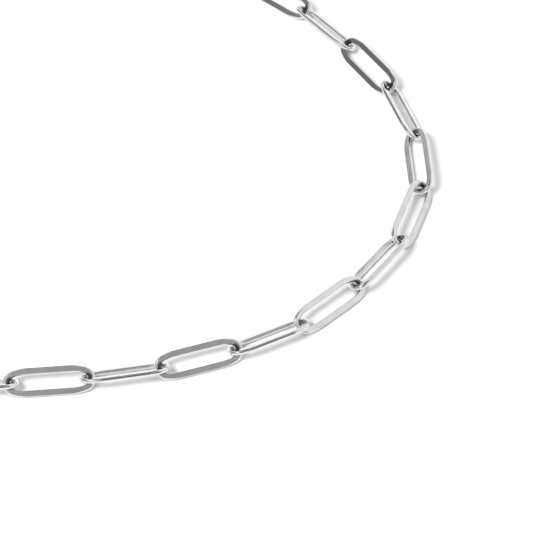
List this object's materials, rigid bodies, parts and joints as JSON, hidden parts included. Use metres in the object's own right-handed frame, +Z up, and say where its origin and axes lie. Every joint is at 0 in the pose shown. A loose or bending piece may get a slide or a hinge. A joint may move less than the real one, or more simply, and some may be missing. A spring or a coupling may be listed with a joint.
{
  "type": "paperclip chain necklace",
  "caption": "Necklace of long oval links of pressed wire, hooked through one another in a closed loop with a plain hook clasp, lying flat in an open oval.",
  "frame": {"origin": "centre of the oval that the chain lies in, on the surface under it", "axes": "+X along the oval's long axis, away from the clasp; +Y across the oval; +Z up from the surface"},
  "size_m": [0.181, 0.1084, 0.0033],
  "materials": {
    "polished_silver": "mirror polish",
    "clasp_silver": "mirror polish"
  },
  "bodies": {
    "root": {"link_01": "polished_silver", "link_02": "polished_silver", "link_03": "polished_silver", "link_04": "polished_silver", "link_05": "polished_silver", "link_06": "polished_silver", "link_07": "polished_silver", "link_08": "polished_silver", "link_09": "polished_silver", "link_10": "polished_silver", "link_11": "polished_silver", "link_12": "polished_silver", "link_13": "polished_silver", "link_14": "polished_silver", "link_15": "polished_silver", "link_16": "polished_silver", "link_17": "polished_silver", "link_18": "polished_silver", "link_19": "polished_silver", "link_20": "polished_silver", "link_21": "polished_silver", "link_22": "polished_silver", "link_23": "polished_silver", "link_24": "polished_silver", "link_25": "polished_silver", "link_26": "polished_silver", "link_27": "polished_silver", "link_28": "polished_silver", "link_29": "polished_silver", "link_30": "polished_silver", "link_31": "polished_silver", "link_32": "polished_silver", "link_33": "polished_silver", "link_34": "polished_silver", "link_35": "polished_silver", "link_36": "polished_silver", "link_37": "polished_silver", "link_38": "polished_silver", "link_39": "polished_silver", "clasp": "clasp_silver"}
  },
  "joints": []
}
